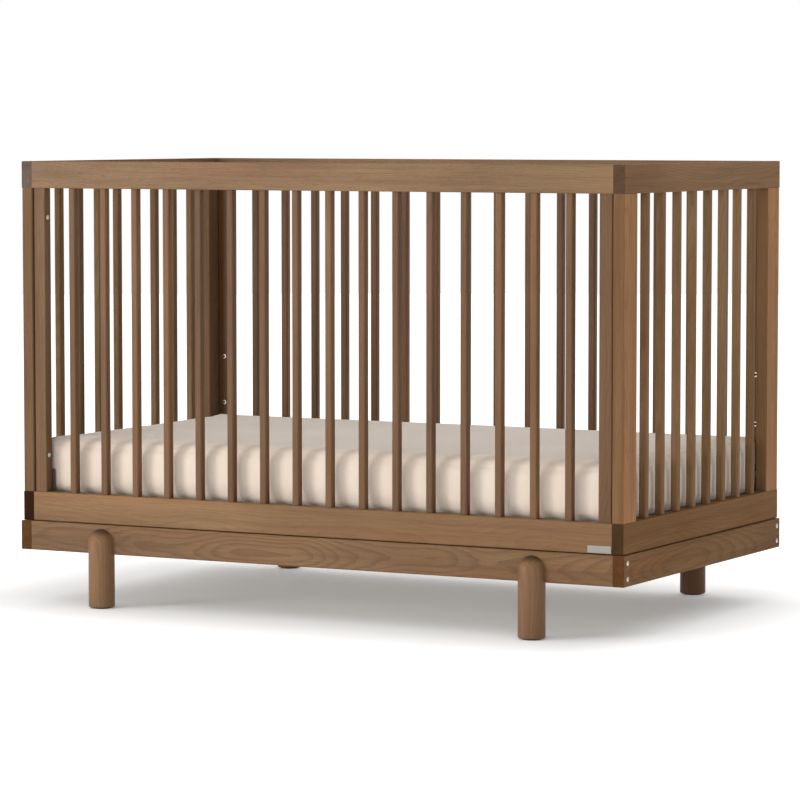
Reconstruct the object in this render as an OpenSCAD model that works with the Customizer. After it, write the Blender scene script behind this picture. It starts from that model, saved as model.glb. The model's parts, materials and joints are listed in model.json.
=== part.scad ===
// Baby crib: four slatted panels bolted into a box, standing on a separate low frame with four round
// legs, with a hook-on steel mattress support and a crib mattress in a fitted sheet.
// Units are millimetres. Origin: floor level under the middle of the crib. +X runs along the crib,
// -Y is the front, +Z is up.

/* [Crib box] */
// Length over the two end panels
crib_l = 1380; // [1200:1:1500]
// Depth over the two long panels
crib_w = 775; // [680:1:900]
// Height from the floor to the top of the rails
crib_h = 924; // [820:1:1000]
// Thickness of every panel rail
panel_t = 25; // [23:0.5:32]
// Height of the top rails
top_rail_h = 56; // [45:1:80]
// Height of the bottom rails
bottom_rail_h = 60.5; // [50:0.5:80]
// Rounding along the edges of the rails
rail_edge_r = 2; // [1:0.5:4]

/* [Stiles and slats] */
// Width of the end stiles of a long panel
long_stile_w = 28.5; // [26:0.5:40]
// Thickness of the end stiles of a long panel
long_stile_t = 22; // [18:0.5:24]
// Shadow gap between a long panel's stile and the end panel
stile_reveal = 2; // [1:0.5:6]
// Width of the end panels' stiles
end_stile_w = 60; // [45:1:75]
// Rounding of the stiles' corners
stile_edge_r = 3; // [1:0.5:5]
// Width of a slat
slat_w = 16.5; // [14:0.5:22]
// Thickness of a slat
slat_t = 16; // [12:0.5:18]
// Rounding of a slat's corners
slat_edge_r = 4; // [2:0.5:5.5]
// Gap between two slats
slat_gap = 59.5; // [40:0.5:60]
// Depth of the slats' tenons in the rails
slat_tenon = 12; // [8:1:18]

/* [Base frame] */
// Height of the base rails
base_rail_h = 61; // [50:1:90]
// Thickness of the front and back base rails
base_side_t = 30; // [26:1:40]
// Thickness of the left and right base rails
base_end_t = 25; // [22:1:40]
// How far the base frame stands out past the crib box on each side
base_overhang = 4; // [0:0.5:12]
// Gap that the spacers hold between the base frame and the crib box
base_gap = 1; // [0.5:0.5:6]

/* [Legs] */
// Diameter of a leg
leg_d = 54.5; // [44:1:60]
// Height from the floor to the underside of the base rails
leg_h = 112; // [80:1:180]
// Distance from the crib's end to a leg's axis
leg_inset = 194; // [120:1:300]
// Distance from the top of the base rail down to the top of the leg's dome
dome_drop = 9; // [4:1:14]
// Rounding around the foot of a leg
leg_foot_r = 4; // [2:0.5:6]
// Diameter of the glide under a leg
glide_d = 38; // [24:1:40]
// Height that the glide holds the leg off the floor
glide_h = 2; // [1:0.5:4]

/* [Mattress and sheet] */
// Gap between the mattress and each end panel
mattress_end_gap = 7; // [3:0.5:20]
// Gap between the mattress and each long panel
mattress_side_gap = 9.5; // [8:0.5:20]
// Thickness of the mattress with its sheet
mattress_t = 117; // [80:1:150]
// Radius of the mattress's edges
mattress_edge_r = 16; // [10:1:40]
// Thickness of the fitted sheet
sheet_t = 1.5; // [1:0.5:3]
// Width of the sheet's hem under the mattress
sheet_hem = 70; // [40:5:120]

/* [Mattress support] */
// Height of the top of the cross bars at the lowest setting
support_top_z = 228; // [215:1:232]
// Height of the support's hook bolts at the lowest setting
support_bolt_z = 268; // [264:1:280]
// Rise from one height setting to the next
support_step = 104; // [90:1:120]
// Number of height settings
support_settings = 3; // [2:1:4]
// Flange width of the support's steel angles
angle_w = 30; // [20:1:40]
// Thickness of the support's steel
steel_t = 3; // [2:0.5:4]
// Number of cross bars
cross_bars = 11; // [7:1:15]
// Width of a cross bar
cross_bar_w = 25; // [20:1:40]

/* [Fasteners] */
// Diameter of the bolts' threads
bolt_d = 6; // [5:0.5:8]
// Diameter of the bolts' button heads
bolt_head_d = 10; // [9:0.5:13]
// Height of the bolts' button heads
bolt_head_h = 3; // [2.5:0.5:4]
// Width of the hex socket across its flats
socket_w = 4; // [3:0.5:5]
// Outer diameter of the threaded inserts
insert_d = 10; // [9:0.5:11]
// Diameter of the barrel nuts
barrel_nut_d = 10; // [9:0.5:12]
// Diameter of the wooden dowels
dowel_d = 8; // [6:0.5:10]

/* [Label] */
// Width of the blank label
label_w = 50; // [30:1:70]
// Height of the blank label
label_h = 14; // [10:1:20]
// Thickness of the blank label
label_t = 1; // [0.5:0.5:1.5]
// Distance from the label to the end of its rail
label_edge = 1; // [0:0.5:20]

/* [Hidden] */
$fn = 48;
eps = 0.01;                                    // a cutter runs this far past the face that it cuts
wood = "#8a6849";
wood_dark = "#6b4e38";
silver = "silver";
steel_colour = "lightgray";
cream = "#dacbbb";

base_top = leg_h + base_rail_h;
box_bottom = base_top + base_gap;
slat_bottom = box_bottom + bottom_rail_h;      // top face of the bottom rails
slat_top = crib_h - top_rail_h;                // underside of the top rails
slat_clear = slat_top - slat_bottom;
slat_pitch = slat_w + slat_gap;
inner_l = crib_l - 2 * panel_t;
inner_w = crib_w - 2 * panel_t;

long_stile_x = inner_l / 2 - stile_reveal - long_stile_w / 2;
long_panel_y = crib_w / 2 - panel_t / 2;       // rails and slats share this middle plane
long_stile_y = inner_w / 2 + long_stile_t / 2; // the stile's inner face is flush with the rails'
long_clear = 2 * long_stile_x - long_stile_w;
long_slat_n = ceil((long_clear - slat_gap) / slat_pitch);

end_panel_x = crib_l / 2 - panel_t / 2;
end_stile_y = crib_w / 2 - end_stile_w / 2;
end_clear = crib_w - 2 * end_stile_w;
end_slat_n = ceil((end_clear - slat_gap) / slat_pitch);

base_l = crib_l + 2 * base_overhang;
base_w = crib_w + 2 * base_overhang;
base_side_l = base_l - 2 * base_end_t;
base_side_y = base_w / 2 - base_side_t / 2;
leg_x = crib_l / 2 - leg_inset;
leg_y = base_w / 2;                            // a leg's axis lies in the base rail's outer face
leg_r = leg_d / 2;
dome_z = base_top - dome_drop - leg_r;

mattress_l = inner_l - 2 * mattress_end_gap;   // with its sheet
mattress_w = inner_w - 2 * mattress_side_gap;

// fasteners
socket_depth = 2;
hole_d = bolt_d;                               // the thread fills its hole
insert_l = 18;
insert_short_l = 12;
base_bolt_edge = 15;                           // bolt axis to the base rail's top or bottom edge
base_bolt_zs = [leg_h + base_bolt_edge, base_top - base_bolt_edge];
base_bolt_grip = 45;                           // length in the long rail
barrel_nut_in = 35;                            // barrel nut's axis to the long rail's end
barrel_nut_l = 22;
leg_bolt_edge = 12;                            // lower leg bolt's axis to the base rail's bottom edge
leg_bolt_zs = [leg_h + leg_bolt_edge, dome_z + leg_r / 3];
leg_insert_l = 16;
head_gap = 1;                                  // around a bolt's head in its counterbore
counterbore_d = bolt_head_d + 2 * head_gap;
counterbore_h = bolt_head_h + 3 * head_gap;
panel_bolt_top = 117;                          // below the top of the crib
panel_bolt_bottom = 76;                        // above the bottom rail
panel_bolt_zs = [slat_bottom + panel_bolt_bottom, crib_h - panel_bolt_top];
frame_bolt_x = 300;                            // bolts from the base frame up into the crib box
frame_bolt_recess = 20;
frame_insert_l = 25;
spacer_d = 24;
spacer_xs = [-2 * frame_bolt_x, -frame_bolt_x, frame_bolt_x, 2 * frame_bolt_x];
dowel_l = 36;
end_dowel_inset = end_stile_w / 4;             // two dowels in each end stile joint
corner_dowel_l = 30;

// mattress support
body_gap = 0.3;                                // clearance between pieces that move apart
support_bolt_x = long_stile_x;
hook_y = inner_w / 2 - body_gap - steel_t / 2;
hook_inner_y = hook_y - steel_t / 2;
support_head_h = 4;
support_head_d = 13;
support_head_y = hook_inner_y - 0.2;           // face of the bolt head that holds the hook
support_side_gap = 7;                          // between the support and the heads of its bolts
support_end_gap = 15;                          // between the support and the end panels
support_w = 2 * (support_head_y - support_head_h - support_side_gap);
support_l = inner_l - 2 * support_end_gap;
slot_r = bolt_d / 2 + body_gap;
hook_lip = 6;
hook_cap = 9;                                  // steel above the hook's slot
hook_stem_w = 16;
hook_foot_w = 12;
hook_drop = 12;                                // how far the hook's lip reaches below the bolt
hook_stem_x = support_bolt_x - slot_r - hook_stem_w;
hook_bar_gap = 3;                              // between a hook's foot and the end cross bar
bar_span = 2 * (hook_stem_x - hook_bar_gap) - cross_bar_w;

// ---- shared shapes ----

// A rectangle with round corners, centred.
module rounded_rect(w, h, r) {
    square([w - 2 * r, h], center = true);
    square([w, h - 2 * r], center = true);
    for (x = [-1, 1], y = [-1, 1]) translate([x * (w / 2 - r), y * (h / 2 - r)]) circle(r);
}

// A bar along Z from 0 to l, with round corners.
module bar_z(w, d, l, r) {
    linear_extrude(l) rounded_rect(w, d, r);
}

// A bar along X, centred, with round corners. w is its depth in Y and h its height in Z.
module bar_x(l, w, h, r) {
    translate([-l / 2, 0, 0]) rotate([90, 0, 90]) bar_z(w, h, l, r);
}

// A bar along Y, centred, with round corners. w is its thickness in X and h its height in Z.
module bar_y(l, w, h, r) {
    translate([0, l / 2, 0]) rotate([90, 0, 0]) bar_z(w, h, l, r);
}

// A cylinder along Z, lengthened by eps at both ends when it cuts.
module rod(d, l, cut = false) {
    extra = cut ? eps : 0;
    translate([0, 0, -extra]) cylinder(d = d, h = l + 2 * extra);
}

// Turns +Z to point along +X or -X (side 1 or -1), and along +Y or -Y.
module along_x(side) { rotate([0, 90 * side, 0]) children(); }
module along_y(side) { rotate([-90 * side, 0, 0]) children(); }

// A button-head bolt: its head's underside at z = 0, its thread along +Z.
module bolt(l, d = bolt_d, head_d = bolt_head_d, head_h = bolt_head_h) {
    difference() {
        union() {
            cylinder(d = d, h = l);
            rotate_extrude() intersection() {
                translate([0, -head_h]) square([head_d / 2, head_h]);
                translate([0, 1.2 * head_d / 2 - head_h]) circle(1.2 * head_d / 2);
            }
        }
        translate([0, 0, -head_h - eps]) cylinder(d = socket_w / cos(30), h = socket_depth + eps, $fn = 6);
    }
}

// A threaded insert along +Z with the thread's bore right through.
module insert(l) {
    difference() {
        cylinder(d = insert_d, h = l);
        translate([0, 0, -eps]) cylinder(d = bolt_d, h = l + 2 * eps);
    }
}

// ---- places of the fasteners ----

module at_panel_bolts() {
    for (sx = [-1, 1], sy = [-1, 1], z = panel_bolt_zs)
        translate([sx * (inner_l / 2), sy * long_panel_y, z]) along_x(sx) children();
}

module at_base_bolts() {
    for (sx = [-1, 1], sy = [-1, 1], z = base_bolt_zs)
        translate([sx * base_l / 2, sy * base_side_y, z]) along_x(-sx) children();
}

module at_leg_bolts() {
    for (sx = [-1, 1], sy = [-1, 1], z = leg_bolt_zs)
        translate([sx * leg_x, sy * (base_w / 2 - base_side_t), z]) along_y(sy) children();
}

module at_frame_bolts() {
    for (sx = [-1, 1], sy = [-1, 1])
        translate([sx * frame_bolt_x, sy * long_panel_y, leg_h]) children();
}

module at_support_holes(settings) {
    for (sx = [-1, 1], sy = [-1, 1], i = settings)
        translate([sx * support_bolt_x, sy * inner_w / 2, support_bolt_z + i * support_step])
            along_y(sy) children();
}

module at_stile_dowels() {
    for (sx = [-1, 1], sy = [-1, 1], z = [slat_bottom, slat_top]) {
        translate([sx * long_stile_x, sy * long_panel_y, z - dowel_l / 2]) children();
        for (i = [-1, 1])
            translate([sx * end_panel_x, sy * (end_stile_y + i * end_dowel_inset), z - dowel_l / 2])
                children();
    }
}

module at_corner_dowels() {
    for (sx = [-1, 1], sy = [-1, 1],
         z = [box_bottom + bottom_rail_h / 2 - 2, crib_h - top_rail_h / 2 + 4])
        translate([sx * (inner_l / 2 - corner_dowel_l / 2), sy * long_panel_y, z])
            along_x(sx) children();
}

// ---- cutters: every hole for the fasteners, in place ----

module panel_holes() {
    at_panel_bolts() {
        translate([0, 0, -long_stile_w - stile_reveal - eps])
            cylinder(d = hole_d, h = long_stile_w + stile_reveal + eps);
        rod(insert_d, insert_l, cut = true);
    }
    at_support_holes([0 : support_settings - 1]) rod(insert_d, insert_short_l, cut = true);
    at_stile_dowels() rod(dowel_d, dowel_l);
    at_corner_dowels() rod(dowel_d, corner_dowel_l);
    at_frame_bolts() translate([0, 0, base_rail_h + base_gap]) rod(insert_d, frame_insert_l, cut = true);
}

module base_holes() {
    at_base_bolts() {
        rod(hole_d, base_end_t + base_bolt_grip, cut = true);
        translate([0, 0, base_end_t + barrel_nut_in]) rotate([90, 0, 0])
            translate([0, 0, -barrel_nut_l / 2]) cylinder(d = barrel_nut_d, h = barrel_nut_l);
    }
    at_leg_bolts() {
        rod(hole_d, base_side_t, cut = true);
        rod(counterbore_d, counterbore_h, cut = true);
    }
    at_frame_bolts() {
        rod(hole_d, base_rail_h, cut = true);
        rod(counterbore_d, frame_bolt_recess, cut = true);
    }
}

// ---- panels ----

// The slats of a long panel, sy = -1 front, 1 back. Each slat's tenons reach into the rails.
module long_slats(sy) {
    color(wood)
        for (i = [0 : long_slat_n - 1])
            translate([(i - (long_slat_n - 1) / 2) * slat_pitch, sy * long_panel_y, slat_bottom - slat_tenon])
                bar_z(slat_w, slat_t, slat_clear + 2 * slat_tenon, slat_edge_r);
}

// The slats of an end panel, sx = -1 left, 1 right.
module end_slats(sx) {
    color(wood)
        for (i = [0 : end_slat_n - 1])
            translate([sx * end_panel_x, (i - (end_slat_n - 1) / 2) * slat_pitch, slat_bottom - slat_tenon])
                bar_z(slat_t, slat_w, slat_clear + 2 * slat_tenon, slat_edge_r);
}

module long_rail(sy, z, h) {
    color(wood) difference() {
        translate([0, sy * long_panel_y, z + h / 2]) bar_x(inner_l, panel_t, h, rail_edge_r);
        long_slats(sy);
        panel_holes();
    }
}

module end_rail(sx, z, h) {
    color(wood) difference() {
        translate([sx * end_panel_x, 0, z + h / 2]) bar_y(crib_w, panel_t, h, rail_edge_r);
        end_slats(sx);
        panel_holes();
    }
}

module long_stile(sx, sy) {
    color(wood) difference() {
        translate([sx * long_stile_x, sy * long_stile_y, slat_bottom])
            bar_z(long_stile_w, long_stile_t, slat_clear, stile_edge_r);
        panel_holes();
    }
}

module end_stile(sx, sy) {
    color(wood) difference() {
        translate([sx * end_panel_x, sy * end_stile_y, slat_bottom])
            bar_z(panel_t, end_stile_w, slat_clear, stile_edge_r);
        panel_holes();
    }
}

// ---- base frame ----

module base_side_rail(sy) {
    color(wood) difference() {
        translate([0, sy * base_side_y, leg_h + base_rail_h / 2])
            bar_x(base_side_l, base_side_t, base_rail_h, rail_edge_r);
        base_holes();
    }
}

module base_end_rail(sx) {
    color(wood) difference() {
        translate([sx * (base_l / 2 - base_end_t / 2), 0, leg_h + base_rail_h / 2])
            bar_y(base_w, base_end_t, base_rail_h, rail_edge_r);
        base_holes();
    }
}

// Half outline of a leg: a round foot edge, a straight shaft and a domed top.
module leg_outline() {
    translate([0, glide_h]) square([leg_r - leg_foot_r, dome_z - glide_h]);
    translate([0, glide_h + leg_foot_r]) square([leg_r, dome_z - glide_h - leg_foot_r]);
    translate([leg_r - leg_foot_r, glide_h + leg_foot_r]) circle(leg_foot_r);
    translate([0, dome_z]) intersection() {
        circle(leg_r);
        square(leg_r);
    }
}

// A leg is full round under the rail. Above that its inner half is cut away, and the outer half
// laps over the rail's face up to the dome.
module leg(sx, sy) {
    color(wood_dark) difference() {
        translate([sx * leg_x, sy * leg_y, 0]) rotate_extrude() leg_outline();
        translate([sx * leg_x, sy * (leg_y - leg_r), leg_h + base_rail_h])
            cube([2 * leg_d, leg_d, 2 * base_rail_h], center = true);
        at_leg_bolts() translate([0, 0, base_side_t]) rod(insert_d, leg_insert_l, cut = true);
    }
}

module leg_glides() {
    color("black")
        for (sx = [-1, 1], sy = [-1, 1])
            translate([sx * leg_x, sy * leg_y, 0]) cylinder(d = glide_d, h = glide_h);
}

module base_spacers() {
    color("black")
        for (x = spacer_xs, sy = [-1, 1])
            translate([x, sy * long_panel_y, base_top]) difference() {
                cylinder(d = spacer_d, h = base_gap);
                translate([0, 0, -eps]) cylinder(d = bolt_d, h = base_gap + 2 * eps);
            }
}

// ---- fasteners ----

module base_bolts() {
    color(silver) at_base_bolts() bolt(base_end_t + base_bolt_grip);
}

module base_barrel_nuts() {
    color(silver) at_base_bolts()
        difference() {
            translate([0, 0, base_end_t + barrel_nut_in]) rotate([90, 0, 0])
                translate([0, 0, -barrel_nut_l / 2]) cylinder(d = barrel_nut_d, h = barrel_nut_l);
            rod(bolt_d, base_end_t + base_bolt_grip);
        }
}

module leg_bolts() {
    color(silver) at_leg_bolts()
        translate([0, 0, counterbore_h]) bolt(base_side_t - counterbore_h + leg_insert_l - 2);
}

module leg_inserts() {
    color(silver) at_leg_bolts() translate([0, 0, base_side_t]) insert(leg_insert_l);
}

module frame_bolts() {
    color(silver) at_frame_bolts()
        translate([0, 0, frame_bolt_recess])
            bolt(base_rail_h + base_gap + frame_insert_l - frame_bolt_recess - 2);
}

module frame_inserts() {
    color(silver) at_frame_bolts() translate([0, 0, base_rail_h + base_gap]) insert(frame_insert_l);
}

module panel_bolts() {
    color(silver) at_panel_bolts()
        translate([0, 0, -long_stile_w - stile_reveal]) bolt(long_stile_w + stile_reveal + insert_l - 2);
}

module panel_inserts() {
    color(silver) at_panel_bolts() insert(insert_l);
}

module stile_dowels() {
    color("burlywood") at_stile_dowels() rod(dowel_d, dowel_l);
}

module corner_dowels() {
    color("burlywood") at_corner_dowels() rod(dowel_d, corner_dowel_l);
}

module label_plate() {
    color("ivory")
        translate([inner_l / 2 - label_edge - label_w / 2, -crib_w / 2, box_bottom + rail_edge_r + label_h / 2])
            rotate([90, 0, 0]) linear_extrude(label_t) rounded_rect(label_w, label_h, 1);
}

// ---- mattress support ----

// A long angle: a flat flange under the cross bars and a lip down its outer edge.
module support_side_angle(sy) {
    top = support_top_z - steel_t;
    color(steel_colour) {
        translate([-support_l / 2, sy > 0 ? support_w / 2 - angle_w : -support_w / 2, top - steel_t])
            cube([support_l, angle_w, steel_t]);
        translate([-support_l / 2, sy > 0 ? support_w / 2 - steel_t : -support_w / 2, top - angle_w])
            cube([support_l, steel_t, angle_w - steel_t]);
    }
}

// An end angle fits between the long ones.
module support_end_angle(sx) {
    top = support_top_z - steel_t;
    flange_w = support_w - 2 * angle_w;
    lip_w = support_w - 2 * steel_t;
    color(steel_colour) {
        translate([sx > 0 ? support_l / 2 - angle_w : -support_l / 2, -flange_w / 2, top - steel_t])
            cube([angle_w, flange_w, steel_t]);
        translate([sx > 0 ? support_l / 2 - steel_t : -support_l / 2, -lip_w / 2, top - angle_w])
            cube([steel_t, lip_w, angle_w - steel_t]);
    }
}

module support_cross_bars() {
    color(steel_colour)
        for (i = [0 : cross_bars - 1])
            translate([-bar_span / 2 + i * bar_span / (cross_bars - 1), 0, support_top_z - steel_t / 2])
                cube([cross_bar_w, support_w, steel_t], center = true);
}

// A hook stands on each corner of the support and hangs over a bolt in the stile. Its slot is open
// at the bottom, so the support lifts straight off.
module support_hook() {
    foot_y = support_w / 2 - angle_w;
    cap_top = support_bolt_z + slot_r + hook_cap;
    lip_bottom = support_bolt_z - hook_drop;
    translate([hook_stem_x, foot_y, support_top_z - steel_t])
        cube([hook_foot_w, hook_y + steel_t / 2 - foot_y, steel_t]);
    translate([0, hook_inner_y, 0]) difference() {
        union() {
            translate([hook_stem_x, 0, support_top_z - steel_t])
                cube([hook_stem_w, steel_t, cap_top - support_top_z + steel_t]);
            translate([hook_stem_x, 0, lip_bottom])
                cube([hook_stem_w + 2 * slot_r + hook_lip, steel_t, cap_top - lip_bottom]);
        }
        translate([support_bolt_x - slot_r, -eps, lip_bottom - eps])
            cube([2 * slot_r, steel_t + 2 * eps, hook_drop + eps]);
        translate([support_bolt_x, -eps, support_bolt_z]) along_y(1) cylinder(r = slot_r, h = steel_t + 2 * eps);
    }
}

module support_hooks() {
    color(steel_colour)
        for (mx = [0, 1], my = [0, 1]) mirror([mx, 0, 0]) mirror([0, my, 0]) support_hook();
}

module support_bolts() {
    head_out = inner_w / 2 - support_head_y;
    color(silver) at_support_holes([0])
        translate([0, 0, -head_out])
            bolt(head_out + insert_short_l - 1, head_d = support_head_d, head_h = support_head_h);
}

module support_inserts() {
    color(silver) at_support_holes([0 : support_settings - 1]) insert(insert_short_l);
}

// ---- mattress ----

// A box with round edges that stands on z = 0: what its three round outlines have in common.
module soft_box(l, w, h, r) {
    translate([0, 0, h / 2]) intersection() {
        translate([0, 0, -h / 2]) bar_z(l, w, h, r);
        bar_x(l, w, h, r);
        bar_y(w, l, h, r);
    }
}

module mattress_core() {
    color("white") translate([0, 0, support_top_z + sheet_t])
        soft_box(mattress_l - 2 * sheet_t, mattress_w - 2 * sheet_t, mattress_t - 2 * sheet_t,
                 mattress_edge_r - sheet_t);
}

// The fitted sheet wraps the mattress and ends in a hem underneath.
module fitted_sheet() {
    color(cream) difference() {
        translate([0, 0, support_top_z]) soft_box(mattress_l, mattress_w, mattress_t, mattress_edge_r);
        mattress_core();
        translate([0, 0, support_top_z])
            cube([mattress_l - 2 * sheet_hem, mattress_w - 2 * sheet_hem, 4 * sheet_t], center = true);
    }
}

long_rail(-1, slat_top, top_rail_h);  // front_top_rail
long_rail(-1, box_bottom, bottom_rail_h);  // front_bottom_rail
long_stile(-1, -1);  // front_left_stile
long_stile(1, -1);  // front_right_stile
long_slats(-1);  // front_slats
long_rail(1, slat_top, top_rail_h);  // back_top_rail
long_rail(1, box_bottom, bottom_rail_h);  // back_bottom_rail
long_stile(-1, 1);  // back_left_stile
long_stile(1, 1);  // back_right_stile
long_slats(1);  // back_slats
end_rail(-1, slat_top, top_rail_h);  // left_end_top_rail
end_rail(-1, box_bottom, bottom_rail_h);  // left_end_bottom_rail
end_stile(-1, -1);  // left_end_front_stile
end_stile(-1, 1);  // left_end_back_stile
end_slats(-1);  // left_end_slats
end_rail(1, slat_top, top_rail_h);  // right_end_top_rail
end_rail(1, box_bottom, bottom_rail_h);  // right_end_bottom_rail
end_stile(1, -1);  // right_end_front_stile
end_stile(1, 1);  // right_end_back_stile
end_slats(1);  // right_end_slats
base_side_rail(-1);  // base_front_rail
base_side_rail(1);  // base_back_rail
base_end_rail(-1);  // base_left_rail
base_end_rail(1);  // base_right_rail
leg(-1, -1);  // front_left_leg
leg(1, -1);  // front_right_leg
leg(-1, 1);  // back_left_leg
leg(1, 1);  // back_right_leg
leg_glides();
base_bolts();
base_barrel_nuts();
leg_bolts();
leg_inserts();
frame_bolts();
frame_inserts();
base_spacers();
panel_bolts();
panel_inserts();
stile_dowels();
corner_dowels();
label_plate();
support_side_angle(-1);  // support_front_angle
support_side_angle(1);  // support_back_angle
support_end_angle(-1);  // support_left_angle
support_end_angle(1);  // support_right_angle
support_cross_bars();
support_hooks();
support_bolts();
support_inserts();
mattress_core();
fitted_sheet();
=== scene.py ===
import itertools
import json
import math
import random

import bmesh
import bpy
import numpy as np
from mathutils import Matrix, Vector
from mathutils.bvhtree import BVHTree

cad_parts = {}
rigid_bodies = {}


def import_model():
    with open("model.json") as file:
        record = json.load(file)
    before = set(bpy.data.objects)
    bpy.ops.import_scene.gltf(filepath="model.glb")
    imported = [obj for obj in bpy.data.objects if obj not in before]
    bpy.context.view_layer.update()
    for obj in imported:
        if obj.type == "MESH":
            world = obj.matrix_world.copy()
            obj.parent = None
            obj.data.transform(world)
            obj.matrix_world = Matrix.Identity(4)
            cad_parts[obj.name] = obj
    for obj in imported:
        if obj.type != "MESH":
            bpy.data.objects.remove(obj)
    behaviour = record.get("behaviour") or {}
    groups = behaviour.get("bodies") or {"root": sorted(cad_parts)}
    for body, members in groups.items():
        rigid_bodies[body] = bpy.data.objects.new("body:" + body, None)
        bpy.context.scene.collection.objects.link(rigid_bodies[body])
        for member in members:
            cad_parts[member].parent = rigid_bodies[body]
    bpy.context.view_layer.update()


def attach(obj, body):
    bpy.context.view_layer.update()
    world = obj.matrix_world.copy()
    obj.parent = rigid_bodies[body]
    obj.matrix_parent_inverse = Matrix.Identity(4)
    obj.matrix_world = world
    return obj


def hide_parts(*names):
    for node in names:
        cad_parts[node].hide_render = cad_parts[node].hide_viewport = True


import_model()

# ---------------------------------------------------------------- camera, room and light

# where the camera stands, how far it looks down and is turned, in degrees, and its lens in millimetres
CAMERA_AT = (3.637, -6.821, 1.005)
LOOKS_DOWN = 4.30
TURNED = 28.09
LENS = 166.35

scene = bpy.context.scene
cam_data = bpy.data.cameras.new("camera")
cam_data.lens = LENS
cam_data.sensor_width = 36
cam_data.clip_start, cam_data.clip_end = 0.1, 100
cam = bpy.data.objects.new("camera", cam_data)
cam.location = CAMERA_AT
cam.rotation_euler = (math.radians(90 - LOOKS_DOWN), 0, math.radians(TURNED))
scene.collection.objects.link(cam)
scene.camera = cam
scene.view_settings.view_transform = "Standard"

world = bpy.data.worlds.new("studio")
scene.world = world
world.use_nodes = True
sky = world.node_tree
backdrop = sky.nodes["Background"]
backdrop.inputs["Color"].default_value = (1, 1, 1, 1)


def sky_math(op, a, b):
    """A Math node in the world's tree."""
    n = sky.nodes.new("ShaderNodeMath")
    n.operation = op
    for socket, value in zip(n.inputs, (a, b)):
        if isinstance(value, bpy.types.NodeSocket):
            sky.links.new(value, socket)
        else:
            socket.default_value = value
    return n.outputs[0]


def sky_fade(value, *numbers):
    """A smooth fade of value. numbers = (where it starts, where it ends, strength before, strength after)."""
    n = sky.nodes.new("ShaderNodeMapRange")
    n.interpolation_type = "SMOOTHSTEP"
    sky.links.new(value, n.inputs[0])
    for socket, number in zip(list(n.inputs)[1:5], numbers):
        socket.default_value = number
    return n.outputs[0]


# a white room, brighter on the camera's side and dimmer overhead and to the right
direction = sky.nodes.new("ShaderNodeTexCoord")
apart = sky.nodes.new("ShaderNodeSeparateXYZ")
sky.links.new(direction.outputs["Generated"], apart.inputs[0])
right_side = sky_fade(apart.outputs[0], 0.0, 0.9, 1.0, 0.62)
overhead = sky_fade(apart.outputs[2], 0.25, 0.95, 1.0, 0.84)
camera_side = sky_fade(apart.outputs[1], -0.9, 0.1, 1.35, 1.0)
room = sky_math("MULTIPLY", sky_math("MULTIPLY", right_side, overhead), camera_side)
# the camera itself sees plain white
seen = sky.nodes.new("ShaderNodeLightPath").outputs["Is Camera Ray"]
lit = sky_math("MULTIPLY", sky_math("SUBTRACT", 1.0, seen), room)
sky.links.new(sky_math("ADD", seen, lit), backdrop.inputs["Strength"])


def soft_light(name, where, at, size, power, colour):
    """A rectangular area light at where, turned to at."""
    data = bpy.data.lights.new(name, "AREA")
    data.shape = "RECTANGLE"
    data.size, data.size_y = size
    data.energy = power
    data.color = colour
    o = bpy.data.objects.new(name, data)
    o.location = where
    o.rotation_euler = (Vector(at) - Vector(where)).to_track_quat("-Z", "Y").to_euler()
    scene.collection.objects.link(o)


soft_light("key", (-6.2, -8.3, 1.8), (0, 0, 0.5), (3.4, 3.0), 420, (1.0, 0.98, 0.95))


# ---------------------------------------------------------------- node helpers


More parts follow.
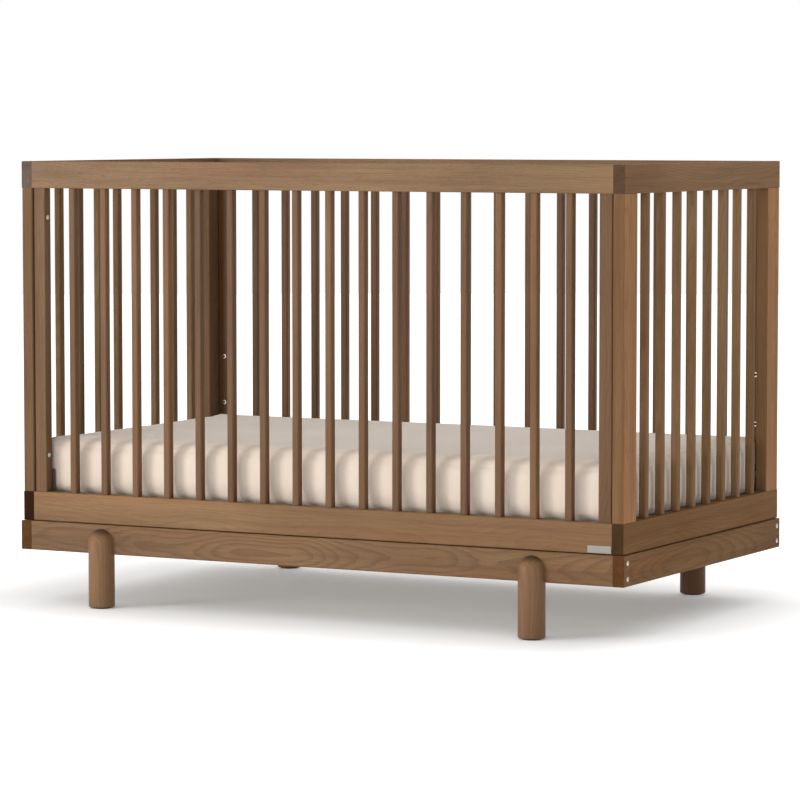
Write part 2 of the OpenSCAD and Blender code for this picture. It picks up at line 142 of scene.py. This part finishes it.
class Graph:
    """A node material with its Principled shader, and short ways to add nodes to it."""

    def __init__(self, name):
        self.mat = bpy.data.materials.new(name)
        self.mat.use_nodes = True
        self.tree = self.mat.node_tree
        self.tree.nodes.clear()
        out = self.add("ShaderNodeOutputMaterial")
        self.bsdf = self.add("ShaderNodeBsdfPrincipled")
        self.tree.links.new(self.bsdf.outputs[0], out.inputs[0])
        where = self.add("ShaderNodeTexCoord")
        self.place = where.outputs["Object"]
        self.normal = where.outputs["Normal"]

    def add(self, kind, **props):
        n = self.tree.nodes.new(kind)
        for k, v in props.items():
            setattr(n, k, v)
        return n

    def put(self, value, socket):
        if isinstance(value, bpy.types.NodeSocket):
            self.tree.links.new(value, socket)
        else:
            socket.default_value = value

    def math(self, op, a, b=0.0):
        n = self.add("ShaderNodeMath", operation=op)
        for s, v in zip(n.inputs, (a, b)):
            self.put(v, s)
        return n.outputs[0]

    def vec(self, op, a, b=(0, 0, 0)):
        n = self.add("ShaderNodeVectorMath", operation=op)
        self.put(a, n.inputs[0])
        self.put(b, n.inputs[1])
        return n.outputs["Value"] if op == "LENGTH" else n.outputs[0]

    def split(self, v):
        n = self.add("ShaderNodeSeparateXYZ")
        self.put(v, n.inputs[0])
        return n.outputs[0], n.outputs[1], n.outputs[2]

    def join(self, x, y, z):
        n = self.add("ShaderNodeCombineXYZ")
        for s, v in zip(n.inputs, (x, y, z)):
            self.put(v, s)
        return n.outputs[0]

    def noise(self, v, scale=1.0, detail=2.0, rough=0.5, warp=0.0):
        n = self.add("ShaderNodeTexNoise")
        self.put(v, n.inputs["Vector"])
        n.inputs["Scale"].default_value = scale
        n.inputs["Detail"].default_value = detail
        n.inputs["Roughness"].default_value = rough
        n.inputs["Distortion"].default_value = warp
        return n.outputs[0]

    def random(self, value):
        n = self.add("ShaderNodeTexWhiteNoise", noise_dimensions="1D")
        self.put(value, n.inputs["W"])
        return n.outputs["Value"]

    def span(self, value, a, b, lo=0.0, hi=1.0, smooth=True):
        n = self.add("ShaderNodeMapRange")
        n.interpolation_type = "SMOOTHSTEP" if smooth else "LINEAR"
        for s, v in zip(n.inputs, (value, a, b, lo, hi)):
            self.put(v, s)
        return n.outputs[0]

    def mix(self, fac, a, b, blend="MIX"):
        n = self.add("ShaderNodeMix", data_type="RGBA", blend_type=blend)
        self.put(fac, n.inputs[0])
        self.put(a if isinstance(a, bpy.types.NodeSocket) else (*a, 1), n.inputs[6])
        self.put(b if isinstance(b, bpy.types.NodeSocket) else (*b, 1), n.inputs[7])
        return n.outputs[2]

    def tint(self, colour, by):
        """colour times by, which is a colour or a socket."""
        return self.mix(1.0, colour, by, "MULTIPLY")

    def grey(self, value):
        return self.join(value, value, value)

    def bump(self, height, distance, strength=1.0, below=None):
        n = self.add("ShaderNodeBump")
        n.inputs["Strength"].default_value = strength
        n.inputs["Distance"].default_value = distance
        self.put(height, n.inputs["Height"])
        if below is not None:
            self.put(below, n.inputs["Normal"])
        return n.outputs[0]

    def finish(self, colour, roughness, normal=None, **uniform):
        self.put(colour, self.bsdf.inputs["Base Color"])
        self.put(roughness, self.bsdf.inputs["Roughness"])
        if normal is not None:
            self.put(normal, self.bsdf.inputs["Normal"])
        for k, v in uniform.items():
            self.bsdf.inputs[k.replace("_", " ")].default_value = v
        return self.mat


def lin(r, g, b):
    """An 8-bit sRGB colour as linear values."""
    return tuple(((c / 255 + 0.055) / 1.055) ** 2.4 if c > 10 else c / 255 / 12.92 for c in (r, g, b))


# ---------------------------------------------------------------- wood


RING_WIDTH = 0.0042


def stained_wood(name, grain, seed, tone=(1, 1, 1), heart=(0, 0), array=None, figure=1.0,
                 ends=(1, 1, 1), front=(1, 1, 1), gloss=0.22, raw=False):
    """Walnut-stained wood. grain is the axis the fibres run along. heart is where the tree's middle lies
    across the fibres, which decides how the growth rings cut the faces. array = (axis, pitch, offset)
    gives each stick of a row its own tone and its own stretch of grain. tone tints the whole board: partly
    its own colour, partly painted light and shade. ends tints the end grain further, and front tints the
    faces that look along Y; both paint the light and shade those faces get."""
    g = Graph(name)
    axis = "XYZ".index(grain)
    parts = g.split(g.place)
    along, u, v = parts[axis], parts[(axis + 1) % 3], parts[(axis + 2) % 3]
    rng = random.Random(seed)
    stick = None
    if array:
        a, pitch, offset = array
        cell = g.math("ROUND", g.math("DIVIDE", g.math("ADD", parts["XYZ".index(a)], offset), pitch))
        stick = g.random(g.math("ADD", cell, seed * 1.37))
        along = g.math("ADD", along, g.math("MULTIPLY", stick, 7.0))
    along = g.math("ADD", along, rng.uniform(3, 9))
    grain_place = g.join(along, u, v)

    # growth rings round a heart line that wanders slowly along the board
    elsewhere = g.vec("ADD", grain_place, (11, 5, 3))
    wander = (g.noise(g.vec("MULTIPLY", grain_place, (1.6, 3.0, 3.0)), 1.0, 2.0, 0.5),
              g.noise(g.vec("MULTIPLY", elsewhere, (1.3, 3.0, 3.0)), 1.0, 2.0, 0.5))
    off_heart = [g.math("ADD", g.math("SUBTRACT", at, middle),
                        g.math("MULTIPLY", g.math("SUBTRACT", w, 0.5), 0.10))
                 for at, middle, w in zip((u, v), heart, wander)]
    radius = g.vec("LENGTH", g.join(0.0, *off_heart))
    ragged = g.noise(g.vec("MULTIPLY", grain_place, (10, 90, 90)), 1.0, 3.0, 0.55)
    rings = g.math("ADD", g.math("DIVIDE", radius, RING_WIDTH), g.math("MULTIPLY", ragged, 0.9))
    ring = g.math("FRACT", rings)
    late = g.math("MULTIPLY", g.span(ring, 0.35, 0.93), g.span(ring, 1.0, 0.95))

    # fibres, pores and broad clouds of stain
    fibre = g.noise(g.vec("MULTIPLY", grain_place, (9, 420, 420)), 1.0, 4.0, 0.6)
    streak = g.noise(g.vec("MULTIPLY", grain_place, (2.2, 85, 85)), 1.0, 3.0, 0.55)
    pores = g.span(g.noise(g.vec("MULTIPLY", grain_place, (55, 1500, 1500)), 1.0, 2.0, 0.5), 0.60, 0.72)
    cloud = g.noise(g.vec("MULTIPLY", grain_place, (2.4, 9, 9)), 1.0, 3.0, 0.5, 0.4)

    if raw:
        dark, mid, light = lin(176, 140, 98), lin(205, 170, 125), lin(221, 190, 148)
    else:
        dark, mid, light = lin(76, 49, 28), lin(104, 73, 44), lin(118, 86, 54)
    colour = g.mix(g.span(cloud, 0.30, 0.72), mid, light)
    colour = g.mix(g.span(streak, 0.38, 0.80, 0.0, 0.38), colour, dark)
    colour = g.mix(g.math("MULTIPLY", late, 0.26 * figure), colour, dark)
    colour = g.mix(g.span(fibre, 0.45, 0.85, 0.0, 0.38), colour, dark)
    colour = g.mix(g.math("MULTIPLY", pores, 0.35), colour, lin(62, 42, 28))
    # stain drifts a little between a redder and a greener brown
    warm = g.noise(g.vec("MULTIPLY", grain_place, (1.7, 22, 22)), 1.0, 2.0, 0.5)
    colour = g.mix(g.span(warm, 0.50, 0.72, 0.0, 0.5), colour, g.tint(colour, (1.12, 0.96, 0.88)))
    colour = g.mix(g.span(warm, 0.50, 0.28, 0.0, 0.5), colour, g.tint(colour, (0.94, 1.0, 0.95)))
    if stick is not None:
        colour = g.tint(colour, g.grey(g.span(stick, 0.0, 1.0, 0.80, 1.10, smooth=False)))
    # tone: partly the board's own colour, partly painted light and shade
    colour = g.tint(colour, tone)
    faces = [g.span(g.math("ABSOLUTE", n), 0.45, 0.95) for n in g.split(g.normal)]
    # painted light and shade: faces that look along Y are tinted by front, darker or lighter than the rest
    colour = g.mix(faces[1], colour, g.tint(colour, front))

    # end grain drinks more stain, and shows rings and pores end-on
    end = faces[axis]
    dots = g.noise(g.vec("MULTIPLY", grain_place, (900, 900, 900)), 1.0, 3.0, 0.6)
    end_tone = g.math("ADD", g.math("MULTIPLY", late, -0.10), g.span(dots, 0.3, 0.7, 0.34, 0.50))
    # on top of the real end-grain darkening, ends paints the light and shade each board's ends get
    colour = g.mix(end, colour, g.tint(g.tint(colour, g.grey(end_tone)), ends))

    raised = g.math("ADD", g.math("MULTIPLY", fibre, 0.6), g.math("MULTIPLY", late, 0.25))
    normal = g.bump(g.math("SUBTRACT", raised, g.math("MULTIPLY", pores, 0.9)), 0.00022, 0.55)
    rough = g.math("ADD", g.span(fibre, 0.3, 0.8, 0.40, 0.54), g.math("MULTIPLY", end, 0.16))
    return g.finish(colour, rough, normal, Specular_IOR_Level=gloss)


# ---------------------------------------------------------------- metal, plastic, paint, label


def zinc(name):
    g = Graph(name)
    clouds = g.noise(g.place, 260, 4.0, 0.6)
    scratches = g.noise(g.vec("MULTIPLY", g.place, (3000, 380, 900)), 1.0, 3.0, 0.6)
    colour = g.mix(g.span(clouds, 0.35, 0.7), (0.50, 0.50, 0.49), (0.70, 0.69, 0.66))
    rough = g.math("ADD", g.span(scratches, 0.3, 0.7, 0.22, 0.36), g.math("MULTIPLY", clouds, 0.10))
    return g.finish(colour, rough, g.bump(scratches, 0.00004, 0.5), Metallic=1.0)


def glide_plastic(name):
    g = Graph(name)
    grainy = g.noise(g.place, 2600, 3.0, 0.6)
    cloud = g.noise(g.place, 60, 2.0, 0.5)
    colour = g.mix(g.span(cloud, 0.3, 0.7), (0.018, 0.017, 0.016), (0.035, 0.034, 0.032))
    rough = g.span(grainy, 0.3, 0.7, 0.50, 0.68)
    return g.finish(colour, rough, g.bump(grainy, 0.00006, 0.5), Specular_IOR_Level=0.4)


def powder_coat(name):
    g = Graph(name)
    peel = g.noise(g.place, 900, 2.0, 0.5)
    fine = g.noise(g.place, 3800, 2.0, 0.5)
    cloud = g.noise(g.place, 9, 3.0, 0.5)
    colour = g.mix(g.span(cloud, 0.3, 0.7), lin(74, 66, 58), lin(86, 77, 68))
    height = g.math("ADD", peel, g.math("MULTIPLY", fine, 0.25))
    rough = g.span(peel, 0.3, 0.7, 0.38, 0.50)
    return g.finish(colour, rough, g.bump(height, 0.00012, 0.5), Specular_IOR_Level=0.5)


def plate(name):
    g = Graph(name)
    brush = g.noise(g.vec("MULTIPLY", g.place, (60, 2500, 2500)), 1.0, 3.0, 0.6)
    cloud = g.noise(g.place, 90, 2.0, 0.5)
    colour = g.mix(g.span(brush, 0.3, 0.7), lin(126, 123, 116), lin(146, 143, 134))
    colour = g.mix(g.span(cloud, 0.4, 0.8, 0.0, 0.2), colour, lin(150, 147, 138))
    rough = g.span(brush, 0.3, 0.7, 0.34, 0.48)
    return g.finish(colour, rough, g.bump(brush, 0.00004, 0.5), Specular_IOR_Level=0.35)


# ---------------------------------------------------------------- fabric


def weave(g, size):
    """Over-and-under threads of a plain weave, about size apart, on every face whatever way it turns."""
    x, y, z = g.split(g.place)
    nx, ny, nz = (g.math("ABSOLUTE", c) for c in g.split(g.normal))
    k = math.tau / size / 2
    sx, sy, sz = (g.math("SINE", g.math("MULTIPLY", c, k)) for c in (x, y, z))
    flat = g.math("MULTIPLY", sx, sy)
    front = g.math("MULTIPLY", sx, sz)
    side = g.math("MULTIPLY", sy, sz)
    top_share = g.span(nz, 0.55, 0.8)
    side_share = g.span(g.math("SUBTRACT", nx, ny), -0.15, 0.15)
    wall = g.math("ADD", g.math("MULTIPLY", side, side_share),
                  g.math("MULTIPLY", front, g.math("SUBTRACT", 1.0, side_share)))
    return g.math("ADD", g.math("MULTIPLY", flat, top_share),
                  g.math("MULTIPLY", wall, g.math("SUBTRACT", 1.0, top_share)))


def cotton(name, stitched=False):
    g = Graph(name)
    cross = weave(g, 0.0011)
    warp, weft = (g.noise(g.vec("MULTIPLY", g.place, run), 1.0, 3.0, 0.6)
                  for run in ((900, 70, 900), (70, 900, 70)))
    threads = g.math("MULTIPLY", g.math("ADD", warp, weft), 0.5)
    cloud = g.noise(g.place, 4.5, 3.0, 0.5)
    soft = g.noise(g.vec("MULTIPLY", g.place, (14, 14, 9)), 1.0, 3.0, 0.5, 0.6)
    colour = g.mix(g.span(cloud, 0.3, 0.7), lin(214, 199, 184), lin(222, 208, 194))
    colour = g.mix(g.span(threads, 0.35, 0.65, 0.0, 0.35), colour, lin(212, 196, 180))
    # painted shade: darker where the threads dip under in the weave
    colour = g.mix(g.span(cross, -0.9, 0.1, 0.22, 0.0), colour, lin(190, 173, 156))
    if stitched:
        dash = g.math("SINE", g.math("MULTIPLY", g.split(g.place)[2], math.tau / 0.004))
        colour = g.mix(g.span(dash, 0.2, 0.5, 0.0, 0.25), colour, lin(188, 170, 150))
    height = g.math("ADD", g.math("MULTIPLY", cross, 0.5), g.math("MULTIPLY", threads, 0.8))
    normal = g.bump(soft, 0.004, 0.22)
    normal = g.bump(height, 0.00025, 0.45, normal)
    rough = g.span(threads, 0.3, 0.7, 0.82, 0.93)
    return g.finish(colour, rough, normal, Sheen_Weight=0.25, Sheen_Roughness=0.45, Specular_IOR_Level=0.25)


def ticking(name):
    g = Graph(name)
    cross = weave(g, 0.0013)
    x, y, _ = g.split(g.place)
    # sewn diamonds
    pitch = 0.055
    lines = (g.math("MULTIPLY", g.math(op, x, y), math.pi / pitch) for op in ("ADD", "SUBTRACT"))
    channel = g.math("MINIMUM", *(g.math("ABSOLUTE", g.math("SINE", line)) for line in lines))
    puff = g.math("POWER", channel, 0.45)
    cloud = g.noise(g.place, 7, 3.0, 0.5)
    colour = g.mix(g.span(cloud, 0.3, 0.7), lin(224, 221, 212), lin(236, 233, 225))
    # painted shade: darker in the sewn creases and where the threads dip under
    colour = g.mix(g.span(channel, 0.10, 0.0, 0.0, 0.35), colour, lin(188, 183, 172))
    colour = g.mix(g.span(cross, -0.9, 0.1, 0.18, 0.0), colour, lin(196, 190, 180))
    normal = g.bump(puff, 0.005, 0.7)
    normal = g.bump(cross, 0.0002, 0.4, normal)
    rough = g.span(cross, -1.0, 1.0, 0.84, 0.94)
    return g.finish(colour, rough, normal, Sheen_Weight=0.2, Sheen_Roughness=0.5)


def wear(o, mat):
    o.data.materials.clear()
    o.data.materials.append(mat)


# ---------------------------------------------------------------- the CAD nodes' materials

SLAT_PITCH = 0.076
END_GLOSS = 0.02
LONG_ROW = ("X", SLAT_PITCH, SLAT_PITCH / 2)
END_ROW = ("Y", SLAT_PITCH, SLAT_PITCH / 2)
board_seed = itertools.count(1)


def wear_all(mat, *nodes):
    for n in nodes:
        wear(bpy.data.objects[n], mat)


def stain(node, grain, tone, heart, **more):
    """Gives a CAD node its own board of stained wood."""
    wear_all(stained_wood(f"walnut_{node}", grain, next(board_seed), tone, heart, **more), node)


# each board has its own cut from the tree, and its own tone: partly its own colour, partly painted light and
# shade
for side, v in (("front", -1), ("back", 1)):
    stain(f"{side}_top_rail", "X", (1.13, 1.25, 1.36), (v * 0.365, 0.815), figure=0.8)
    stain(f"{side}_bottom_rail", "X", (1.23, 1.29, 1.30), (v * 0.33, 0.16), figure=0.7)
    stain(f"base_{side}_rail", "X", (1.01, 1.05, 1.05), (v * 0.34, 0.145), figure=1.6)
    stain(f"{side}_left_stile", "Z", (0.83, 0.81, 0.72), (-0.69, v * 0.33))
    stain(f"{side}_right_stile", "Z", (0.72, 0.67, 0.62), (0.69, v * 0.33))
    stain(f"{side}_slats", "Z", (0.89, 0.86, 0.83), (0.3, v * 0.30), array=LONG_ROW)

# each end's tones, partly the wood's own colour and partly painted light and shade; the right end stands in
# less light, and its stiles' front faces are painted darker
END_LIGHT_AND_SHADE = {
    "left": {"top_ends": (1.52, 2.04, 3.2), "bottom_ends": (0.42, 0.35, 0.4), "stile": (0.94, 1.10, 1.5),
             "stile_front_shade": (1, 1, 1), "slats": (1.07, 1.32, 1.75)},
    "right": {"top_ends": (1.24, 1.27, 1.6), "bottom_ends": (0.87, 0.95, 1.3), "stile": (2.0, 2.05, 2.35),
              "stile_front_shade": (0.53, 0.58, 0.63), "slats": (1.27, 1.50, 1.95)},
}
for hand, h in (("left", -1), ("right", 1)):
    end_light_and_shade = END_LIGHT_AND_SHADE[hand]
    stain(f"{hand}_end_top_rail", "Y", (1.28, 1.42, 1.85), (0.86, h * 0.64), ends=end_light_and_shade["top_ends"],
          gloss=END_GLOSS)
    stain(f"{hand}_end_bottom_rail", "Y", (1.11, 1.10, 1.0), (0.16, h * 0.64), ends=end_light_and_shade["bottom_ends"],
          gloss=END_GLOSS)
    stain(f"base_{hand}_rail", "Y", (1.08, 1.12, 1.18), (0.13, h * 0.64), figure=1.2, ends=(1.40, 1.20, 1.05),
          gloss=END_GLOSS)
    for side, v in (("front", -1), ("back", 1)):
        stain(f"{hand}_end_{side}_stile", "Z", end_light_and_shade["stile"], (h * 0.64, v * 0.36),
              front=end_light_and_shade["stile_front_shade"], gloss=END_GLOSS)
        # painted light and shade: front legs lighter, back legs darker for the shade they stand in
        leg_light_and_shade = (1.24, 1.34, 1.6) if side == "front" else (0.78, 0.70, 0.65)
        stain(f"{side}_{hand}_leg", "Z", leg_light_and_shade, (h * 0.497, v * 0.36))
    stain(f"{hand}_end_slats", "Z", end_light_and_shade["slats"], (h * 0.62, 0.2), array=END_ROW, gloss=END_GLOSS)

wear_all(stained_wood("beech_dowel", "Z", 90, raw=True), "stile_dowels", "corner_dowels")
wear_all(zinc("zinc_plate"), "base_bolts", "base_barrel_nuts", "leg_bolts", "leg_inserts", "frame_bolts",
         "frame_inserts", "panel_bolts", "panel_inserts", "support_bolts", "support_inserts")
wear_all(glide_plastic("black_nylon"), "leg_glides", "base_spacers")
wear_all(powder_coat("support_powder_coat"), "support_front_angle", "support_back_angle",
         "support_left_angle", "support_right_angle", "support_cross_bars", "support_hooks")
wear_all(plate("blank_label"), "label_plate")


# ---------------------------------------------------------------- mattress and fitted sheet

BED_L, BED_W, BED_H, BED_Z = 1.316, 0.706, 0.117, 0.228
SHEET_T = 0.0015
EDGE_R = 0.016
HEM = 0.070
# how far the foam core starts inside the bed's outline, and how much shallower than the room in the sheet
CORE_INSET = 0.0035
CORE_ROOM = 0.002
# the furthest that a point of each may move in the simulation, and how much the top is raised afterwards
CORE_SWELL = 0.002
SHEET_SWELL = 0.0032
CROWN = 0.0015


def into_object(name, bm):
    """Ends a bmesh as a smooth object in the scene."""
    mesh = bpy.data.meshes.new(name)
    bm.to_mesh(mesh)
    bm.free()
    for p in mesh.polygons:
        p.use_smooth = True
    o = bpy.data.objects.new(name, mesh)
    scene.collection.objects.link(o)
    return o


def grid_lines(half, r, step, steps_in_round):
    """Positions across one side: close together in the rounded part, evenly spaced between."""
    inner = half - r
    n = max(2, round(2 * inner / step))
    flat = list(np.linspace(-inner, inner, n + 1))
    bend = [inner + r * math.tan(math.radians(45 * k / steps_in_round)) for k in range(1, steps_in_round + 1)]
    return [-b for b in reversed(bend)] + flat + bend


def rounded_block(name, l, w, h, r, z0, step, steps_in_round=4, open_under=None):
    """A closed box with round edges, as an even grid of quads. open_under leaves out the underside
    further than that from its edges."""
    lines = [grid_lines(l / 2, r, step, steps_in_round), grid_lines(w / 2, r, step, steps_in_round),
             grid_lines(h / 2, min(r, h / 2 - 0.001), step, steps_in_round)]
    half = (l / 2, w / 2, h / 2)
    bm = bmesh.new()
    seen = {}

    def vert(p):
        key = tuple(round(c, 6) for c in p)
        if key not in seen:
            q = [max(-(hc - r), min(hc - r, c)) for c, hc in zip(p, half)]
            d = Vector(p) - Vector(q)
            seen[key] = bm.verts.new(Vector(q) + d.normalized() * r if d.length > 1e-9 else Vector(p))
        return seen[key]

    for axis in range(3):
        a, b = (axis + 1) % 3, (axis + 2) % 3
        la, lb = lines[a], lines[b]
        for sign in (-1, 1):
            for i in range(len(la) - 1):
                for j in range(len(lb) - 1):
                    if open_under and axis == 2 and sign < 0:
                        ca, cb = (la[i] + la[i + 1]) / 2, (lb[j] + lb[j + 1]) / 2
                        if abs(ca) < half[a] - open_under and abs(cb) < half[b] - open_under:
                            continue
                    quad = []
                    for s, t in ((i, j), (i + 1, j), (i + 1, j + 1), (i, j + 1)):
                        p = [0, 0, 0]
                        p[axis], p[a], p[b] = sign * half[axis], la[s], lb[t]
                        quad.append(vert(tuple(p)))
                    bm.faces.new(quad if sign > 0 else quad[::-1])
    bmesh.ops.translate(bm, verts=bm.verts, vec=(0, 0, z0 + h / 2))
    return into_object(name, bm)


def coords(mesh):
    a = np.empty(len(mesh.vertices) * 3)
    mesh.vertices.foreach_get("co", a)
    return a.reshape(-1, 3)


def set_coords(mesh, a):
    mesh.vertices.foreach_set("co", a.reshape(-1))
    mesh.update()


def simulate(o, frames, pressure, grow, pinned=None):
    """Runs Blender's Cloth on o with no gravity and returns where its points start and end."""
    rest = coords(o.data)
    mod = o.modifiers.new("cloth", "CLOTH")
    s = mod.settings
    s.quality = 5
    s.mass = 0.3
    s.tension_stiffness = s.compression_stiffness = 15
    s.shear_stiffness = 5
    s.bending_stiffness = 0.4
    s.use_pressure = True
    s.uniform_pressure_force = pressure
    s.shrink_min = -grow
    s.effector_weights.gravity = 0
    mod.collision_settings.use_collision = False
    mod.collision_settings.use_self_collision = False
    if pinned is not None:
        group = o.vertex_groups.new(name="pin")
        group.add([int(i) for i in pinned], 1.0, "REPLACE")
        s.vertex_group_mass = "pin"
    mod.point_cache.frame_start = 1
    mod.point_cache.frame_end = frames
    for f in range(1, frames + 1):
        scene.frame_set(f)
    dg = bpy.context.evaluated_depsgraph_get()
    moved = coords(o.evaluated_get(dg).to_mesh()).copy()
    o.evaluated_get(dg).to_mesh_clear()
    o.modifiers.remove(mod)
    scene.frame_set(1)
    return rest, moved


def capped(rest, moved, cap):
    """The moved points, none further than cap from where it was."""
    d = moved - rest
    n = np.linalg.norm(d, axis=1, keepdims=True)
    return rest + d * np.minimum(1, cap / np.maximum(n, 1e-9))


def raise_crown(shape):
    """Lifts the upper half a little towards the middle of the bed."""
    top = shape[:, 2] > BED_Z + BED_H / 2
    lengthways = np.clip(1 - (2 * shape[:, 0] / BED_L) ** 4, 0, 1)
    across = np.clip(1 - (2 * shape[:, 1] / BED_W) ** 4, 0, 1)
    shape[:, 2] += np.where(top, CROWN * lengthways * across, 0)


def tree_of(mesh):
    return BVHTree.FromPolygons([v.co for v in mesh.vertices], [tuple(p.vertices) for p in mesh.polygons])


# the foam core, swollen a little inside its cover
core = rounded_block("mattress", BED_L - 2 * CORE_INSET, BED_W - 2 * CORE_INSET,
                     BED_H - 2 * SHEET_T - CORE_ROOM, EDGE_R - CORE_ROOM, BED_Z + SHEET_T, 0.016)
rest, moved = simulate(core, 14, 2.5, 0.0)
shape = capped(rest, moved, CORE_SWELL)
raise_crown(shape)
shape[:, 2] = np.maximum(shape[:, 2], BED_Z + SHEET_T)
set_coords(core.data, shape)
wear(core, ticking("mattress_ticking"))
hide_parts("mattress_core")
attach(core, "mattress")

# the fitted sheet, pulled over it and gathered in a hem underneath
sheet = rounded_block("fitted_cotton_sheet", BED_L, BED_W, BED_H, EDGE_R, BED_Z, 0.010, open_under=HEM)
base = coords(sheet.data)
low = base[:, 2] < BED_Z + 0.004
edge = np.minimum(BED_L / 2 - np.abs(base[:, 0]), BED_W / 2 - np.abs(base[:, 1]))
pinned = np.nonzero(low & (edge > EDGE_R + 0.004))[0]
rest, moved = simulate(sheet, 16, 1.2, 0.004, pinned)
shape = capped(rest, moved, SHEET_SWELL)
raise_crown(shape)
# stay outside the core and above the support
core_tree = tree_of(core.data)
for i, p in enumerate(shape):
    hit, normal, _, _ = core_tree.find_nearest(Vector(p))
    out = (Vector(p) - hit).dot(normal)
    if out < SHEET_T:
        shape[i] = np.array(hit + normal * SHEET_T)
shape[:, 2] = np.maximum(shape[:, 2], BED_Z + 0.0001)
set_coords(sheet.data, shape)
sub = sheet.modifiers.new("smooth", "SUBSURF")
sub.levels = sub.render_levels = 1
wear(sheet, cotton("sheet_cotton"))
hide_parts("fitted_sheet")
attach(sheet, "mattress")


RIBBON_SIDES = 8


def ribbon(name, paths, half_width, half_thickness, mat):
    """Flat stitched bands. A path is (points, closed), and each of its points is (place, outward normal)."""
    bm = bmesh.new()
    for points, closed in paths:
        rings = []
        count = len(points)
        for k, (p, out) in enumerate(points):
            ahead = points[(k + 1) % count][0] if closed or k + 1 < count else p
            behind = points[k - 1][0] if closed or k else p
            along = (ahead - behind).normalized()
            out = (out - along * out.dot(along)).normalized()
            wide = along.cross(out)
            ring = []
            for m in range(RIBBON_SIDES):
                t = math.tau * m / RIBBON_SIDES
                place = p + wide * half_width * math.cos(t) + out * half_thickness * math.sin(t)
                ring.append(bm.verts.new(place))
            rings.append(ring)
        for k in range(count if closed else count - 1):
            a, b = rings[k], rings[(k + 1) % count]
            for m in range(RIBBON_SIDES):
                n = (m + 1) % RIBBON_SIDES
                bm.faces.new((a[m], a[n], b[n], b[m]))
        if not closed:
            bm.faces.new(rings[0][::-1])
            bm.faces.new(rings[-1])
    bmesh.ops.recalc_face_normals(bm, faces=bm.faces)
    o = into_object(name, bm)
    wear(o, mat)
    return o


# corner seams follow the sheet from the top crease down to the support
sheet_tree = tree_of(sheet.data)
SEAM_STEPS = 28
seam_paths = []
for sx in (-1, 1):
    for sy in (-1, 1):
        centre = Vector((sx * (BED_L / 2 - EDGE_R), sy * (BED_W / 2 - EDGE_R), BED_Z + BED_H / 2))
        points = []
        for k in range(SEAM_STEPS + 1):
            tilt = math.radians(78 - 150 * k / SEAM_STEPS)
            back = Vector((sx, sy, 0)).normalized() * math.cos(tilt) + Vector((0, 0, math.sin(tilt)))
            start = centre + Vector((0, 0, (BED_H / 2 - EDGE_R) * math.sin(tilt)))
            hit, out, _, _ = sheet_tree.ray_cast(start + back * 0.2, -back)
            if hit is not None:
                points.append((hit + out * 0.0002, out))
        seam_paths.append((points, False))
thread = cotton("sheet_seam_cotton", stitched=True)
seams = ribbon("sheet_corner_seams", seam_paths, 0.0022, 0.0008, thread)

# the elastic hem runs gathered round the opening underneath
HEM_CORNER = 0.04
HEM_STEPS = 1100
hx, hy = BED_L / 2 - HEM, BED_W / 2 - HEM
straight_x, straight_y = 2 * (hx - HEM_CORNER), 2 * (hy - HEM_CORNER)
turn = math.pi / 2 * HEM_CORNER
around = 2 * (straight_x + straight_y) + 4 * turn
# (which corner in X and Y, the angle where its turn starts, the straight after it)
HEM_CORNERS = (
    (1, 1, 0, straight_x),
    (-1, 1, 90, straight_y),
    (-1, -1, 180, straight_x),
    (1, -1, 270, straight_y),
)


def hem_place(at):
    """The point this far along the hem, counted from the start of its first corner."""
    for cx, cy, start, run in HEM_CORNERS:
        mid = Vector((cx * (hx - HEM_CORNER), cy * (hy - HEM_CORNER), 0))
        if at < turn:
            a = math.radians(start) + at / HEM_CORNER
            return mid + Vector((math.cos(a), math.sin(a), 0)) * HEM_CORNER
        at -= turn
        if at < run:
            a = math.radians(start + 90)
            outward = Vector((math.cos(a), math.sin(a), 0))
            return mid + outward * HEM_CORNER + Vector((-math.sin(a), math.cos(a), 0)) * at
        at -= run


hem_points = []
for k in range(HEM_STEPS):
    d = around * k / HEM_STEPS
    p = hem_place(d)
    p.z = BED_Z + 0.0008 + 0.0001 * math.sin(math.tau * d / 0.013)
    sideways = Vector((p.x / hx, p.y / hy, 0)).normalized()
    gather = 0.0012 * math.sin(math.tau * d / 0.017 + 1.0)
    hem_points.append((p + sideways * gather, Vector((0, 0, -1))))
hem = ribbon("sheet_elastic_hem", [(hem_points, True)], 0.005, 0.0006, thread)
for piece in (seams, hem):
    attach(piece, "mattress")

# ---------------------------------------------------------------- floor

# half the length and width of the crib's shadow, and its middle
SHADE = (0.66, 0.36, 0.0)
SHADE_MIDDLE = (-0.10, -0.05, 0.0)


def floor_paper_painted_light(name):
    """White paper that glows, a painted light: faint under the crib, which paints its soft shadow there, and
    stronger away from it.
    """
    g = Graph(name)
    fine = g.noise(g.place, 260, 3.0, 0.6)
    cloud = g.noise(g.place, 0.7, 2.0, 0.5)
    colour = g.mix(g.span(cloud, 0.3, 0.7), (0.94, 0.94, 0.94), (0.96, 0.96, 0.96))
    from_middle = g.vec("ABSOLUTE", g.vec("SUBTRACT", g.place, SHADE_MIDDLE))
    past = g.vec("MAXIMUM", g.vec("SUBTRACT", from_middle, SHADE), (0, 0, 0))
    # painted light: the glow grows with distance from the crib's painted shadow
    g.put(g.span(g.vec("LENGTH", past), -0.10, 0.37, 0.07, 0.43), g.bsdf.inputs["Emission Strength"])
    rough = g.span(fine, 0.3, 0.7, 0.85, 0.95)
    return g.finish(colour, rough, g.bump(fine, 0.0002, 0.2), Specular_IOR_Level=0.2,
                    Emission_Color=(1, 1, 1, 1))


bm = bmesh.new()
bmesh.ops.create_circle(bm, cap_ends=True, radius=14, segments=96)
floor = into_object("studio_floor", bm)
wear(floor, floor_paper_painted_light("floor_paper_painted_light"))
